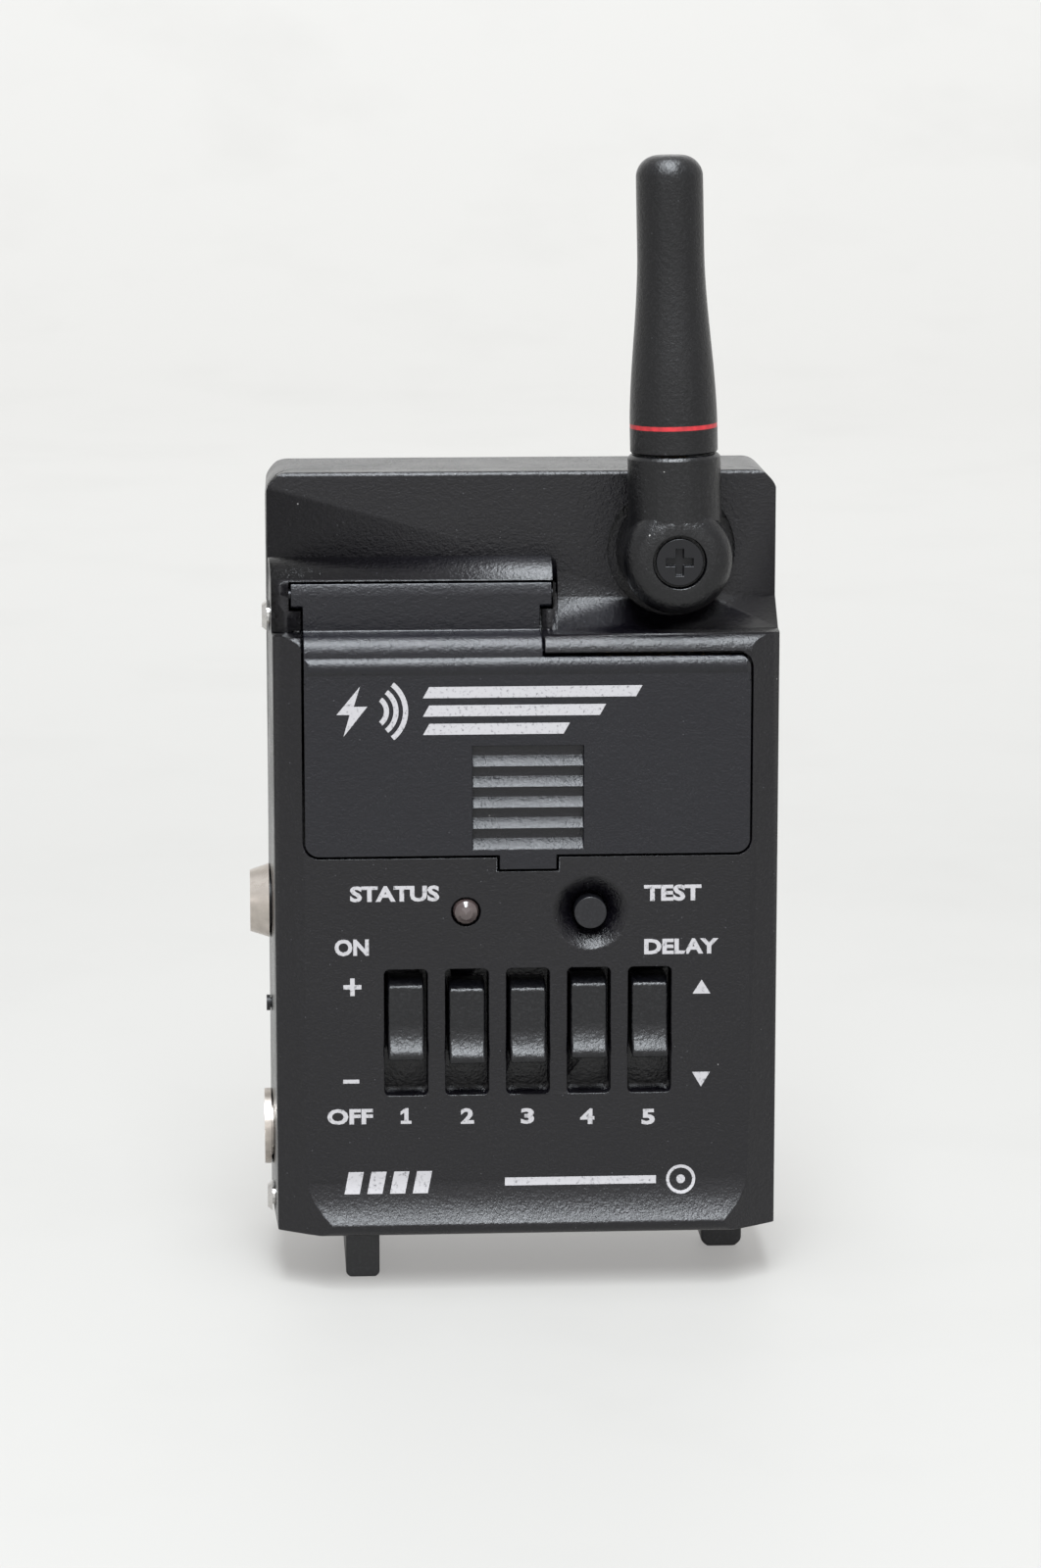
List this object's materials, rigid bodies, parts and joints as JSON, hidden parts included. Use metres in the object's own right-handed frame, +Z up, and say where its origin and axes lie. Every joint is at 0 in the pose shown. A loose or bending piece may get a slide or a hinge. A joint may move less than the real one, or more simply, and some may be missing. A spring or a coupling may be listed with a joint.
{
  "type": "wireless flash trigger",
  "caption": "Pocket radio receiver for studio flash: upright box with hinged battery door, folding stub antenna, test button, status lamp and a row of slide switches.",
  "frame": {"origin": "bottom centre of the bounding box, on the table", "axes": "+X to the right seen from the control face, +Y from the control face to the back, +Z up along the antenna"},
  "size_m": [0.0594, 0.029, 0.1259],
  "materials": {
    "case_plastic": "fine moulded texture",
    "door_plastic": "fine moulded texture",
    "black_plastic": "smooth",
    "switch_plastic": "satin",
    "button_plastic": "satin",
    "antenna_plastic": "satin",
    "red_band": "gloss",
    "lamp": "milky",
    "black_steel": "black oxide",
    "bright_steel": "bright",
    "nickel": "satin nickel",
    "brass": "plain",
    "cell_jacket": "printed foil jacket",
    "board": "solder mask"
  },
  "bodies": {
    "case": {"front_case": "case_plastic", "rear_case": "case_plastic", "case_screws": "black_steel", "side_screws": "bright_steel", "side_stud": "black_plastic", "left_stand_rail": "black_plastic", "right_stand_foot": "black_plastic", "door_hinge_pin": "black_steel", "battery_cells": "cell_jacket", "contact_springs": "nickel", "contact_plates": "nickel", "antenna_pivot_screw": "black_steel", "antenna_washer": "bright_steel", "antenna_insert": "brass", "switch_housings": "nickel", "tact_switch": "black_plastic", "status_led": "lamp", "control_board": "board", "radio_board": "board", "board_header": "black_plastic", "radio_shield": "nickel", "main_chip": "black_plastic", "sync_jack_body": "black_plastic", "sync_jack_nut": "nickel", "pc_terminal": "nickel", "pc_insulator": "black_plastic", "pc_contact": "brass"},
    "door": {"battery_door": "door_plastic"},
    "antenna": {"antenna_knuckle": "antenna_plastic", "antenna_whip": "antenna_plastic", "antenna_ring": "red_band", "antenna_element": "brass"},
    "button": {"test_button": "button_plastic"},
    "switch_1": {"zone_switch_1": "switch_plastic"},
    "switch_2": {"zone_switch_2": "switch_plastic"},
    "switch_3": {"zone_switch_3": "switch_plastic"},
    "switch_4": {"zone_switch_4": "switch_plastic"},
    "switch_md": {"mode_switch": "switch_plastic"}
  },
  "joints": [
    {"name": "door_hinge", "type": "hinge", "parent": "case", "child": "door", "pos_m": [-0.01043, -0.00655, 0.07765], "axis": [-1, 0, 0], "range_deg": [0, 90]},
    {"name": "antenna_pivot", "type": "hinge", "parent": "case", "child": "antenna", "pos_m": [0.01783, -0.00675, 0.0817], "axis": [0, 1, 0], "range_deg": [-55, 90]},
    {"name": "test_press", "type": "slide", "parent": "case", "child": "button", "axis": [0, 1, 0], "range_m": [0, 0.0005], "stiffness_N_per_m": 400, "springref_m": -0.001},
    {"name": "switch_1_slide", "type": "slide", "parent": "case", "child": "switch_1", "axis": [0, 0, -1], "range_m": [0, 0.002]},
    {"name": "switch_2_slide", "type": "slide", "parent": "case", "child": "switch_2", "axis": [0, 0, -1], "range_m": [-0.00045, 0.00155]},
    {"name": "switch_3_slide", "type": "slide", "parent": "case", "child": "switch_3", "axis": [0, 0, -1], "range_m": [-0.00045, 0.00155]},
    {"name": "switch_4_slide", "type": "slide", "parent": "case", "child": "switch_4", "axis": [0, 0, -1], "range_m": [0, 0.002]},
    {"name": "switch_md_slide", "type": "slide", "parent": "case", "child": "switch_md", "axis": [0, 0, -1], "range_m": [0, 0.002]}
  ]
}
